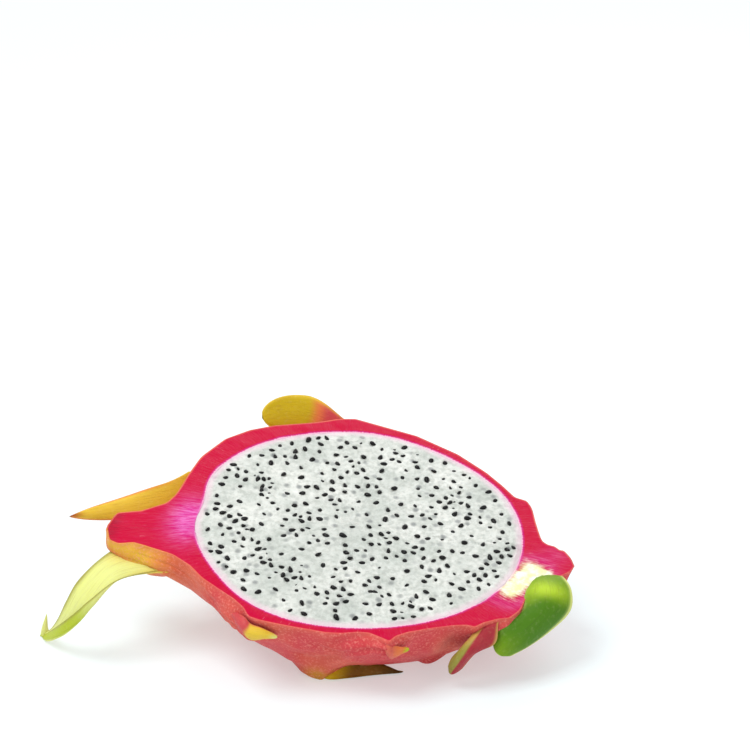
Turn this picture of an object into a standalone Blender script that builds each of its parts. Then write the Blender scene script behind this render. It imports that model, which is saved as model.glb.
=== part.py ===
"""Half of a dragon fruit, resting on its skin with the cut face up.

Fruit frame: +X runs along the fruit from the flower end (crown) to the stem end, the knife
cut is the plane z = 0, and the kept half lies below it. +Y is the side that is raised when
the half rests. Angles round the fruit start at the +Y rim, pass 90 degrees at the belly and
reach 180 degrees at the -Y rim. Everything is parented to one empty, which tilts the half
into the pose in which it rests and stands it on z = 0.
"""

import math
import random

import bmesh
import bpy
from mathutils import Euler, Matrix, Quaternion, Vector

MM = 0.001

# Driving dimensions, in metres and degrees.
CLEARANCE = 0.3 * MM        # gap that touching pieces keep
SEAT_CLEARANCE = 0.4 * MM   # the same under a bract, where the skin slopes
FLESH_LENGTH = 92.0 * MM
FLESH_WIDTH = 80.0 * MM
FLESH_DEPTH = 28.5 * MM     # from the cut face to the belly of the flesh
RIND_SIDE = 3.8 * MM        # peel beside the flesh where the fruit is widest
RIND_BELLY = 5.1 * MM       # peel below the flesh where it is deepest
CROWN_DIMPLE = 2.5 * MM     # how far the core of the neck reaches into the flesh
CROWN_DIMPLE_WIDTH = 9.0 * MM
TILT_FORWARD = 15.6         # the -Y rim lies lower than the +Y rim
CROWN_UP = 6.9              # the flower end lies higher than the stem end
FLAT_DEPTH = 2.0 * MM       # how much of the belly the resting spot flattens
TABLE_SIZE = 0.5
TABLE_MARGIN = 0.4 * MM     # a bract that reaches the table lies this far above it
BRACT_ROOT = 4.0 * MM       # part of a bract's length that is buried in the skin
SEED_LENGTH = 2.5 * MM
SEED_WIDTH = 1.6 * MM
SEED_THICKNESS = 1.3 * MM
SEED_COUNT = 30
SEED_MARGIN = 6.0 * MM      # seeds keep this far inside the edge of the flesh

# The skin from the crown to the stem end: place along the fruit and sideways shift of the
# middle, both as shares of half the flesh's length, then half width at the cut and depth
# below it, as shares of the widest and the deepest.
SKIN_STATIONS = [
    (-1.435, -0.383, 0.000, 0.000),
    (-1.417, -0.378, 0.128, 0.155),
    (-1.304, -0.365, 0.174, 0.220),
    (-1.185, -0.326, 0.210, 0.280),
    (-1.087, -0.239, 0.315, 0.375),
    (-1.000, -0.100, 0.470, 0.494),
    (-0.891, -0.004, 0.621, 0.625),
    (-0.717, 0.009, 0.776, 0.723),
    (-0.478, -0.017, 0.927, 0.863),
    (-0.174, 0.013, 1.000, 0.994),
    (0.130, 0.009, 0.995, 1.000),
    (0.391, -0.009, 0.909, 0.940),
    (0.652, -0.013, 0.785, 0.833),
    (0.870, -0.035, 0.662, 0.702),
    (1.022, -0.074, 0.537, 0.560),
    (1.109, -0.096, 0.397, 0.411),
    (1.185, -0.065, 0.219, 0.262),
    (1.304, -0.065, 0.119, 0.149),
    (1.359, -0.065, 0.000, 0.000),
]
SWELL_FRONT = 4.5 * MM      # length over which a swelling drops in front of its bract
SWELL_WIDTH = 0.62          # share of its bract's width that a swelling spreads to each side
SWELL_SPREAD = 0.3          # how much wider it is at its far end
LEAST_SWOLLEN = 3.0 * MM    # thinner stretches of the skin carry no swelling
SKIN_RINGS = 44
SKIN_SIDES = 36

# Each bract (leaf-like scale): where its foot sits (along the fruit as a share of half the
# flesh's length, angle round it), the way from the foot to the middle and to the tip of its
# midrib in mm along X, Y and Z of the fruit, its width and thickness in mm, how far it is
# turned about its midrib at the foot and at the tip, how far its edges fold towards the
# fruit (share of half width), how blunt it is, and the height and length in mm of the
# swelling of the skin that carries it.
BRACTS = {
    "bract_crown_back": dict(
        foot=(-1.033, 28), middle=(-14.5, -11, 1.8), tip=(-30, -23, 5.5), size=(11, 2.4), turn=(32, 40),
        fold=0.12, blunt=1.5, swell=(1.2, 12)),
    "bract_crown_front": dict(
        foot=(-1.217, 140), middle=(-12, -4.5, -6.5), tip=(-27, -2.5, -36), size=(14, 2.6), turn=(0, -20),
        fold=0.5, blunt=1.6, swell=(1.4, 16)),
    "bract_crown_under": dict(
        foot=(-1.130, 92), middle=(-14, 1, -6), tip=(-27, 3, -15), size=(13, 2.4), turn=(0, 0), fold=0.3,
        blunt=1.5, swell=(1.8, 14)),
    "bract_neck_back": dict(
        foot=(-0.913, 46), middle=(-13, -3, -7), tip=(-27, -7, -11), size=(14, 2.4), turn=(0, 0), fold=0.25,
        blunt=1.6, swell=(3.0, 16)),
    "bract_rim_back": dict(
        foot=(-0.087, 12), middle=(-17, 1, 7), tip=(-29, -4, 7.5), size=(11.5, 2.2), turn=(24, 30),
        fold=0.14, blunt=2.8, swell=(2.6, 12)),
    "bract_back_high": dict(
        foot=(0.435, 42), middle=(-9, 3, -4), tip=(-16, 9, -9), size=(15, 2.4), turn=(0, 0), fold=0.22,
        blunt=1.9, swell=(3.0, 20)),
    "bract_back_low": dict(
        foot=(-0.348, 58), middle=(-10, 2, -4), tip=(-18, 6, -10), size=(15, 2.4), turn=(0, 0), fold=0.22,
        blunt=1.9, swell=(3.2, 20)),
    "bract_back_stem": dict(
        foot=(0.935, 52), middle=(-9, 5, -6), tip=(-15, 11, -13), size=(14, 2.4), turn=(0, 0), fold=0.2,
        blunt=1.9, swell=(2.8, 14)),
    "bract_belly_crown": dict(
        foot=(-0.717, 100), middle=(-11, 0, -3), tip=(-21, 0, -8), size=(14, 2.4), turn=(0, 0), fold=0.2,
        blunt=1.7, swell=(3.0, 16)),
    "bract_belly_stem": dict(
        foot=(0.913, 100), middle=(-9, -1, -7), tip=(-18, -2, -9), size=(14, 2.4), turn=(0, 0), fold=0.16,
        blunt=1.9, swell=(2.4, 14)),
    "bract_front_crown": dict(
        foot=(-0.467, 168), middle=(4.5, -2.0, 1.6), tip=(9, -3.2, 3), size=(7, 1.8), turn=(0, 0),
        fold=0.2, blunt=1.3, swell=(3.0, 12)),
    "bract_front_belly": dict(
        foot=(-0.043, 138), middle=(12, 1, -2), tip=(24, 3, -1), size=(11, 2.2), turn=(30, 60),
        fold=0.12, blunt=1.7, swell=(4.6, 9)),
    "bract_front_middle": dict(
        foot=(0.326, 174), middle=(4, -1.5, 2.8), tip=(7.5, -1.8, 5.5), size=(7, 1.8), turn=(0, 0),
        fold=0.16, blunt=1.2, swell=(3.0, 13)),
    "bract_front_stem": dict(
        foot=(0.957, 166), middle=(-5, -5.5, -4.5), tip=(-10, -6.5, -11), size=(12, 2.2), turn=(10, 0),
        fold=0.3, blunt=1.8, swell=(2.0, 10)),
    "bract_stem_green": dict(
        foot=(1.250, 172), middle=(-3.5, -8.5, -3), tip=(-12, -21, -9.5), size=(17, 3.0), turn=(30, 38),
        fold=0.2, blunt=3.0, swell=(0.6, 6)),
    "bract_stem_back": dict(
        foot=(1.109, 34), middle=(-3, 6, -4), tip=(-5, 12, -9), size=(11, 2.2), turn=(0, 0),
        fold=0.2, blunt=1.7, swell=(1.6, 8)),
}
LEAF_FLARE = 0.25           # how much wider a bract is at its foot, and the share of its
LEAF_FLARE_END = 0.25       # length over which that extra width goes
LEAF_TAPER = 0.8            # roundness of the outline towards the tip
LEAF_POINT = 0.07           # width left at the tip, as a share
LEAF_FREE = 0.4             # share of the length over which a bract leaves the skin's curve
THIN_TIP = 0.55             # thickness lost at the tip, as a share
THIN_EDGE = 0.5             # thickness lost at the edges, as a share
ROOT_SLOPE = 0.4            # how far the buried root runs on along the skin
TABLE_SOFTNESS = 1.5 * MM   # how gently a bract bends where it meets the table
BRACT_STEPS_ALONG = 8
BRACT_STEPS_ACROSS = 4

COLOURS = {
    "skin": (0.78, 0.06, 0.16, 1.0),
    "flesh": (0.86, 0.88, 0.85, 1.0),
    "seed": (0.01, 0.01, 0.012, 1.0),
    "bract": (0.62, 0.60, 0.06, 1.0),
    "green": (0.20, 0.40, 0.03, 1.0),
}


def clear_scene():
    for obj in list(bpy.data.objects):
        bpy.data.objects.remove(obj)


def new_collection(name):
    collection = bpy.data.collections.new(name)
    bpy.context.scene.collection.children.link(collection)
    return collection


def material(name, roughness):
    made = bpy.data.materials.new(name)
    made.use_nodes = True
    shader = made.node_tree.nodes["Principled BSDF"]
    shader.inputs["Base Color"].default_value = COLOURS[name]
    shader.inputs["Roughness"].default_value = roughness
    shader.inputs["Metallic"].default_value = 0.0
    return made


def add_object(name, mesh, collection, parent, finish=None):
    obj = bpy.data.objects.new(name, mesh)
    collection.objects.link(obj)
    obj.parent = parent
    if finish:
        mesh.materials.append(finish)
    return obj


def as_cutter(obj):
    obj.hide_render = True
    obj.display_type = "WIRE"
    return obj


def cut_with(obj, cutter, name):
    """Subtracts one cutter, or every cutter in a collection, from the object."""
    boolean = obj.modifiers.new(name, "BOOLEAN")
    boolean.operation = "DIFFERENCE"
    if isinstance(cutter, bpy.types.Collection):
        boolean.operand_type = "COLLECTION"
        boolean.collection = cutter
    else:
        boolean.object = cutter


# Skin -------------------------------------------------------------------------------------


def through_stations(t):
    """The skin's station at t from 0 (crown) to 1 (stem end), on a Catmull-Rom curve, in metres."""
    last = len(SKIN_STATIONS) - 1
    i = min(int(t * last), last - 1)
    f = t * last - i
    p = [SKIN_STATIONS[max(0, min(last, i + k))] for k in (-1, 0, 1, 2)]
    shares = []
    for a, b, c, d in zip(*p):
        square, cube = 2 * a - 5 * b + 4 * c - d, 3 * b - a - 3 * c + d
        shares.append(0.5 * (2 * b + (c - a) * f + square * f**2 + cube * f**3))
    along = FLESH_LENGTH / 2
    units = (along, along, FLESH_WIDTH / 2 + RIND_SIDE, FLESH_DEPTH + RIND_BELLY)
    return [share * unit for share, unit in zip(shares, units)]


def station_at(x):
    """How far along the stations, from 0 to 1, the skin reaches the place x, by halving."""
    low, high = 0.0, 1.0
    for _ in range(30):
        middle = (low + high) / 2
        if through_stations(middle)[0] < x:
            low = middle
        else:
            high = middle
    return low


def swelling(x, angle, half_width):
    """Height of the skin's swellings at a place: each rises behind its bract and drops in front."""
    height = 0.0
    for bract in BRACTS.values():
        rise, length = bract["swell"][0] * MM, bract["swell"][1] * MM
        forward = math.copysign(1.0, bract["tip"][0])
        along = forward * (x - bract["foot"][0] * FLESH_LENGTH / 2)
        across = (angle - math.radians(bract["foot"][1])) * half_width
        behind = min(1.0, max(0.0, -along / length))
        reach = length if along < 0 else SWELL_FRONT
        spread = bract["size"][0] * MM * (SWELL_WIDTH + SWELL_SPREAD * behind)
        height += rise * math.exp(-((along / reach) ** 2)) * math.exp(-abs(across / spread) ** 3)
    return height


def skin_point(t, angle, grow=0.0):
    """A point of the skin, grown outwards, at t along the stations and an angle round the fruit."""
    x, side, half_width, depth = through_stations(t)
    half_width, depth = max(half_width, 0.0), max(depth, 0.0)
    swell = swelling(x, angle, half_width) if half_width > LEAST_SWOLLEN else 0.0
    swell += grow * math.sin(math.pi * t) ** 0.25
    x -= grow * math.cos(math.pi * t)
    y = side + (half_width + swell) * math.cos(angle)
    return Vector((x, y, -(depth + swell) * math.sin(angle)))


def whole_skin(name, grow=0.0, sides=SKIN_SIDES, rings=SKIN_RINGS):
    """The skin of the whole fruit: a UV sphere whose rings are moved to the stations."""
    work = bmesh.new()
    bmesh.ops.create_uvsphere(work, u_segments=sides, v_segments=rings, radius=1.0)
    for vertex in work.verts:
        polar = math.acos(max(-1.0, min(1.0, vertex.co.z)))
        vertex.co = skin_point(polar / math.pi, math.atan2(vertex.co.y, vertex.co.x), grow)
    bmesh.ops.triangulate(work, faces=work.faces, quad_method="FIXED")
    mesh = bpy.data.meshes.new(name)
    work.to_mesh(mesh)
    work.free()
    return mesh


def keep_below_cut(mesh):
    """Cuts a closed mesh at the plane of the knife and closes it with the cut face."""
    work = bmesh.new()
    work.from_mesh(mesh)
    everything = work.verts[:] + work.edges[:] + work.faces[:]
    bmesh.ops.bisect_plane(
        work, geom=everything, dist=1e-6, plane_co=(0, 0, 0), plane_no=(0, 0, 1), clear_outer=True)
    rim = [edge for edge in work.edges if edge.is_boundary]
    bmesh.ops.contextual_create(work, geom=rim)
    work.to_mesh(mesh)
    work.free()
    return mesh


# Flesh ------------------------------------------------------------------------------------


def flesh_mesh(name, grow=0.0, sides=36, rings=24):
    """An egg-shaped body with a dimple at the crown, grown outwards by a clearance."""
    work = bmesh.new()
    bmesh.ops.create_uvsphere(work, u_segments=sides, v_segments=rings, radius=1.0)
    half = Vector((FLESH_LENGTH / 2 + grow, FLESH_WIDTH / 2 + grow, FLESH_DEPTH + grow))
    for vertex in work.verts:
        x, y, z = vertex.co.z, vertex.co.x, vertex.co.y
        place = Vector((x * half.x, y * half.y, z * half.z))
        crown = max(0.0, -x) ** 4
        place.x += crown * CROWN_DIMPLE * math.exp(-((place.y / CROWN_DIMPLE_WIDTH) ** 2))
        vertex.co = place
    mesh = bpy.data.meshes.new(name)
    work.to_mesh(mesh)
    work.free()
    return mesh


def seed_mesh(name, grow=0.0):
    """A seed lying on its side, pear-shaped: thin at the end by which it hung."""
    work = bmesh.new()
    bmesh.ops.create_uvsphere(work, u_segments=6, v_segments=5, radius=1.0)
    for vertex in work.verts:
        along = vertex.co.z
        slim = 1.0 - 0.28 * along
        vertex.co = Vector((
            along * (SEED_LENGTH / 2 + grow),
            vertex.co.x * (SEED_WIDTH / 2 * slim + grow),
            vertex.co.y * (SEED_THICKNESS / 2 * slim + grow)))
    mesh = bpy.data.meshes.new(name)
    work.to_mesh(mesh)
    work.free()
    return mesh


def seed_places():
    """Places and turns of the seeds that the knife laid bare, spread over the face like sunflower seeds."""
    scatter = random.Random(7)
    golden = math.pi * (3 - math.sqrt(5))
    places = []
    for i in range(SEED_COUNT):
        share = math.sqrt((i + 0.5) / SEED_COUNT)
        angle = i * golden + scatter.uniform(-0.18, 0.18)
        x = share * (FLESH_LENGTH / 2 - SEED_MARGIN) * math.cos(angle)
        y = share * (FLESH_WIDTH / 2 - SEED_MARGIN) * math.sin(angle)
        places.append(((x, y, 0.0), scatter.uniform(0, 2 * math.pi)))
    return places


# Bracts -----------------------------------------------------------------------------------


class Leaf:
    """The middle surface of one bract, worked out from its row in BRACTS."""

    def __init__(self, row, tilt, height):
        x, angle = row["foot"][0] * FLESH_LENGTH / 2, math.radians(row["foot"][1])
        t, step = station_at(x), 1e-3
        along = skin_point(t + step, angle) - skin_point(t - step, angle)
        around = skin_point(t, angle + step) - skin_point(t, angle - step)
        self.row = row
        self.foot = skin_point(t, angle)
        self.out = along.cross(around).normalized()
        self.middle, self.tip = Vector(row["middle"]) * MM, Vector(row["tip"]) * MM
        self.width, self.thickness = (v * MM for v in row["size"])
        self.skin_radius = max(through_stations(t)[2], self.width / 2)
        self.length = self.middle.length + (self.tip - self.middle).length
        self.up = tilt.inverted() @ Vector((0, 0, 1))
        self.height = height

    def midrib(self, s):
        """A point of the curve through foot (0), middle (0.5) and tip (1); its root dives under the skin."""
        first, second = 4 * self.middle - self.tip, 2 * self.tip - 4 * self.middle
        if s < 0:
            return self.foot + first * s * ROOT_SLOPE + self.out * self.length * s
        return self.foot + first * s + second * s * s

    def frame(self, s):
        """Sideways and outward vectors at s along the leaf, turned about its midrib."""
        s = max(s, 0.0)
        first, second = 4 * self.middle - self.tip, 2 * self.tip - 4 * self.middle
        direction = (first + 2 * s * second).normalized()
        outward = (self.out - direction * self.out.dot(direction)).normalized()
        foot_turn, tip_turn = self.row["turn"]
        outward.rotate(Quaternion(direction, math.radians(foot_turn + (tip_turn - foot_turn) * s)))
        return outward.cross(direction), outward

    def half_width(self, s):
        """Half the leaf's width: broad at its foot, then drawn in to the tip."""
        s = max(s, 0.0)
        foot = 1.0 + LEAF_FLARE * max(0.0, 1 - s / LEAF_FLARE_END) ** 2
        taper = (1.0 - s ** self.row["blunt"]) ** LEAF_TAPER
        return self.width / 2 * max(foot * taper, LEAF_POINT)

    def point(self, s, q):
        """A point of the middle surface at s along and q from -1 to 1 across."""
        side, outward = self.frame(s)
        half = self.half_width(s)
        hug = (q * half) ** 2 / (2 * self.skin_radius)
        fold = self.row["fold"] * half * q * q
        free = min(1.0, max(0.0, s) / LEAF_FREE)
        bend = hug * (1 - free) + fold * free
        return self.above_table(self.midrib(s) + side * (q * half) - outward * bend)

    def above_table(self, place):
        """Bends the leaf along the table where it would reach below it."""
        least = TABLE_MARGIN + self.thickness / 2
        h = place.dot(self.up) + self.height
        reach = (h - least) / TABLE_SOFTNESS
        if reach > 8:
            return place
        raised = least + TABLE_SOFTNESS * math.log1p(math.exp(reach))
        return place + self.up * (raised - h)


def bract_mesh(name, leaf):
    """A grid bent into the leaf's middle surface; Solidify gives it its thickness afterwards."""
    work = bmesh.new()
    bmesh.ops.create_grid(work, x_segments=BRACT_STEPS_ALONG, y_segments=BRACT_STEPS_ACROSS, size=1.0)
    root = -BRACT_ROOT / leaf.length
    thin = {}
    for vertex in work.verts:
        s = root + (vertex.co.x + 1) / 2 * (1 - root)
        q = vertex.co.y
        thin[vertex.index] = (1 - THIN_TIP * max(s, 0.0)) * (1 - THIN_EDGE * q * q)
        vertex.co = leaf.point(s, q)
    mesh = bpy.data.meshes.new(name)
    work.to_mesh(mesh)
    work.free()
    return mesh, thin


def build_bract(name, leaf, collection, parent, finish, seat):
    mesh, thin = bract_mesh(name, leaf)
    obj = add_object(name, mesh, collection, parent, finish)
    thickness = obj.vertex_groups.new(name="thickness")
    for index, share in thin.items():
        thickness.add([index], share, "REPLACE")
    solidify = obj.modifiers.new("thickness", "SOLIDIFY")
    solidify.thickness = leaf.thickness
    solidify.offset = 0.0
    solidify.vertex_group = thickness.name
    cut_with(obj, seat, "seat on the skin")
    mesh.shade_smooth()
    return obj


# Assembly ---------------------------------------------------------------------------------


def table_mesh():
    """A block whose top is the table."""
    mesh = bpy.data.meshes.new("table")
    work = bmesh.new()
    bmesh.ops.create_cube(work, size=TABLE_SIZE, matrix=Matrix.Translation((0, 0, -TABLE_SIZE / 2)))
    work.to_mesh(mesh)
    work.free()
    return mesh


def lowest_height(mesh, tilt):
    return min((tilt @ vertex.co).z for vertex in mesh.vertices)


def stand_on_origin(fruit, objects):
    """Moves the fruit sideways so that the middle of its box stands over the origin."""
    bpy.context.view_layer.update()
    graph = bpy.context.evaluated_depsgraph_get()
    corners = []
    for obj in objects:
        shown = obj.evaluated_get(graph)
        corners += [shown.matrix_world @ vertex.co for vertex in shown.data.vertices]
    for axis in (0, 1):
        values = [corner[axis] for corner in corners]
        fruit.location[axis] -= (min(values) + max(values)) / 2


def build():
    clear_scene()
    pieces = new_collection("dragon_fruit_half")
    helpers = new_collection("cutters")
    pockets = new_collection("seed_pockets")
    finishes = {
        "skin": material("skin", 0.45),
        "flesh": material("flesh", 0.35),
        "seed": material("seed", 0.3),
        "bract": material("bract", 0.5),
        "green": material("green", 0.5),
    }

    tilt = Euler((math.radians(TILT_FORWARD), math.radians(CROWN_UP), 0.0)).to_matrix()
    skin = whole_skin("peel")
    height = -lowest_height(skin, tilt) - FLAT_DEPTH
    fruit = bpy.data.objects.new("fruit", None)
    pieces.objects.link(fruit)
    fruit.rotation_euler = tilt.to_euler()
    fruit.location.z = height

    # The skin grown by the clearance trims the foot of each bract to its seat.
    seat = as_cutter(add_object("skin_seat", whole_skin("skin_seat", SEAT_CLEARANCE), helpers, fruit))

    table = as_cutter(add_object("table", table_mesh(), helpers, None))
    cavity = as_cutter(add_object("flesh_cavity", flesh_mesh("flesh_cavity", CLEARANCE), helpers, fruit))

    peel = add_object("peel", keep_below_cut(skin), pieces, fruit, finishes["skin"])
    cut_with(peel, cavity, "hollow for the flesh")
    cut_with(peel, table, "resting spot")

    flesh = add_object("flesh", keep_below_cut(flesh_mesh("flesh")), pieces, fruit, finishes["flesh"])
    seed_shape, pocket_shape = seed_mesh("seed"), seed_mesh("seed_pocket", CLEARANCE)
    seed_shape.materials.append(finishes["seed"])
    seeds = []
    for number, (place, turn) in enumerate(seed_places(), 1):
        for mesh, collection, name in (
            (seed_shape, pieces, f"seed_{number:02d}"),
            (pocket_shape, pockets, f"pocket_{number:02d}"),
        ):
            obj = add_object(name, mesh, collection, fruit)
            obj.location = place
            obj.rotation_euler.z = turn
            if collection is pockets:
                as_cutter(obj)
            else:
                seeds.append(obj)
    cut_with(flesh, pockets, "seed pockets")

    bracts = []
    for name, row in BRACTS.items():
        finish = finishes["green" if "green" in name else "bract"]
        leaf = Leaf(row, tilt, height)
        bracts.append(build_bract(name, leaf, pieces, fruit, finish, seat))

    for obj in [peel, flesh, *seeds]:
        obj.data.shade_smooth()
    stand_on_origin(fruit, [peel, flesh, *bracts])


build()
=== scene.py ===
"""Looks of half a dragon fruit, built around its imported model.

The shapes are worked out in the fruit's own frame and then laid on the table: +X runs from
the flower end (crown) to the stem end, the knife cut is the plane z = 0, and the kept half
lies below it. Angles round the fruit start at the raised rim (+Y), pass 90 degrees at the
belly and end with 180 degrees at the near rim (-Y).
"""

import math

import bmesh
import bpy
import numpy as np
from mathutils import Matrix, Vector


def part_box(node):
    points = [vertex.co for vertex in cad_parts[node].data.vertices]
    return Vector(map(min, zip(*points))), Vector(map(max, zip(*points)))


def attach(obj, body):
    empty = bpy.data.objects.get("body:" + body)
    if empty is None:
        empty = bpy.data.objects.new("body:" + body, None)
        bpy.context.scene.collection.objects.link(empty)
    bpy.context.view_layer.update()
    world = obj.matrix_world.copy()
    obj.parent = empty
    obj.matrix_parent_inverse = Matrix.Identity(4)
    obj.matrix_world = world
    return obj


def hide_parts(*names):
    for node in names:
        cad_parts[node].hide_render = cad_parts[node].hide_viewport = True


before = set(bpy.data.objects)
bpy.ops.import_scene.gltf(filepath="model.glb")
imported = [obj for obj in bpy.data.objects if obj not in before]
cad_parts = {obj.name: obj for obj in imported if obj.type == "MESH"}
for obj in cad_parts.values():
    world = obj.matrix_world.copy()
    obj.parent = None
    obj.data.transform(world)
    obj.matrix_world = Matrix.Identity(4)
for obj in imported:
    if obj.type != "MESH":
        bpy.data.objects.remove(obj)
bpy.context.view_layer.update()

MM = 0.001

# Sizes that the model shares with this script, in metres and degrees.
FLESH_LENGTH, FLESH_WIDTH, FLESH_DEPTH = 92.0 * MM, 80.0 * MM, 28.5 * MM
RIND_SIDE, RIND_BELLY = 3.8 * MM, 5.1 * MM
CROWN_DIMPLE, CROWN_DIMPLE_WIDTH = 2.5 * MM, 9.0 * MM
TILT_FORWARD, CROWN_UP = 15.6, 6.9
BRACT_ROOT = 4.0 * MM
TABLE_MARGIN = 0.3 * MM
SWELL_FRONT, SWELL_WIDTH, SWELL_SPREAD = 4.5 * MM, 0.62, 0.3
SEED_COUNT, SEED_MARGIN = 385, 2.2      # how many, and mm between a seed and the edge of the flesh

# The skin: place along the fruit and sideways shift as shares of half the flesh's length,
# half width and depth as shares of the widest and the deepest.
SKIN = np.array([
    (-1.435, -0.383, 0, 0), (-1.417, -0.378, 0.128, 0.155), (-1.304, -0.365, 0.174, 0.220),
    (-1.185, -0.326, 0.210, 0.280), (-1.087, -0.239, 0.315, 0.375), (-1, -0.1, 0.470, 0.494),
    (-0.891, -0.004, 0.621, 0.625), (-0.717, 0.009, 0.776, 0.723), (-0.478, -0.017, 0.927, 0.863),
    (-0.174, 0.013, 1, 0.994), (0.130, 0.009, 0.995, 1), (0.391, -0.009, 0.909, 0.940),
    (0.652, -0.013, 0.785, 0.833), (0.870, -0.035, 0.662, 0.702), (1.022, -0.074, 0.537, 0.560),
    (1.109, -0.096, 0.397, 0.411), (1.185, -0.065, 0.219, 0.262), (1.304, -0.065, 0.119, 0.149),
    (1.359, -0.065, 0, 0)])

# The edge of the skin in the cut, from crown to stem end, and the edge of the flesh as shares
# of its oval by direction in degrees; in mm.
NEAR_RIM = [
    (-66, -17.6), (-64.4, -22.2), (-61.4, -23.2), (-57.6, -21.8), (-52.9, -22.6), (-46, -24.1),
    (-41, -27), (-36.9, -31), (-31.8, -34.2), (-26.8, -37.2), (-23.5, -40.1), (-21.8, -42.9),
    (-19.1, -43.6), (-14.2, -44), (-7.6, -44.2), (-0.8, -44.4), (3.1, -43.8), (7.6, -42.3),
    (10.7, -41.9), (13.8, -42.9), (16.4, -43.9), (17.4, -41.7), (20.5, -39.4), (24.8, -37.2),
    (29.4, -35.2), (32.6, -33.9), (35.8, -33), (37.8, -33.4), (40.4, -30.9), (43.5, -29),
    (46.7, -27.8), (49.6, -23.5), (50.4, -17), (52, -12.5), (58.3, -8.8), (61.9, -5.2), (62.5, -3)]
FAR_RIM = [
    (-66, -17.6), (-65.6, -13.9), (-64.7, -10.7), (-58.4, -8.3), (-52.3, -3.4), (-50.4, 1),
    (-48.9, 10.4), (-47.1, 18.5), (-41.9, 28.2), (-35.7, 34), (-29.2, 37.8), (-17.6, 42.2),
    (-11, 45.6), (-6.2, 46.8), (0.1, 45.6), (12.7, 43.2), (25.6, 37.6), (34.5, 31.4), (39.7, 26.6),
    (43.6, 22.4), (45.6, 21.9), (47.2, 21.6), (48.8, 19), (49.4, 17.2), (50.2, 13.7), (51.4, 9.6),
    (52.7, 5.5), (54.4, 4.2), (56.6, 3.9), (58, 2.6), (59.1, 2.9), (60.6, 1), (61.5, -0.2), (62.5, -3)]
FLESH_SHAPE = [
    (-180, 0.967), (-155, 0.977), (-141, 0.997), (-124, 1.048), (-112, 1.060), (-100, 1.050), (-80, 1.018),
    (-60, 1), (-35, 1.005), (-15, 1.026), (0, 1.026), (15, 1.034), (30, 1.040), (45, 1.022), (62, 1.010),
    (80, 1.026), (97, 1.018), (115, 0.992), (139, 0.983), (156, 0.967), (180, 0.967)]

# Colours as they look in daylight, red, green and blue from 0 to 255; the claret, the brown and the darkest
# leaf tone are painted shade.
PINK, SALMON, SHADED_CLARET, MAUVE = (204, 72, 78), (212, 98, 82), (150, 16, 22), (164, 42, 54)
ORANGE, YELLOW, PALE, STRAW = (222, 118, 66), (226, 190, 58), (224, 228, 140), (196, 160, 84)
OLIVE, LIME, MOSS, FERN, GREEN = (196, 168, 8), (180, 194, 34), (150, 144, 60), (112, 148, 10), (70, 118, 4)
LEAF_SHADOWED, LEAF_BRIGHT, RUST, BROWN_SHADOWED = (62, 44, 6), (176, 206, 40), (178, 78, 30), (118, 84, 14)

# Tones that the finishes add: on the skin, in the rind from the flesh outwards, in its violet
# patch and its pale streak, in the flesh, on the seeds and on the bracts.
SKIN_SHADE, SKIN_SPECK, SKIN_RIM = (180, 38, 38), (240, 152, 136), (226, 116, 100)
RIND_INNER, RIND_MIDDLE, RIND_OUTER = (240, 190, 212), (196, 30, 122), (192, 0, 54)
RIND_FIBRE, RIND_TORN, VIOLET_DARK = (214, 30, 104), (120, 30, 40), (206, 30, 140)
VIOLET_LIGHT, STREAK_YELLOW, STREAK_WHITE = (230, 132, 204), (230, 236, 172), (246, 246, 230)
FLESH_GREY, FLESH_WHITE, FLESH_GRAIN = (190, 196, 189), (222, 224, 218), (158, 164, 156)
FLESH_STRAND, FLESH_SUNK_SEED, FLESH_EDGE = (240, 240, 236), (120, 124, 124), (226, 200, 210)
SEED_BLACK, SEED_BROWN = (8, 8, 10), (22, 20, 22)
LEAF_LIGHT, LEAF_SHADE, LEAF_SPECK = (255, 250, 190), (190, 150, 60), (250, 240, 190)

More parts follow.
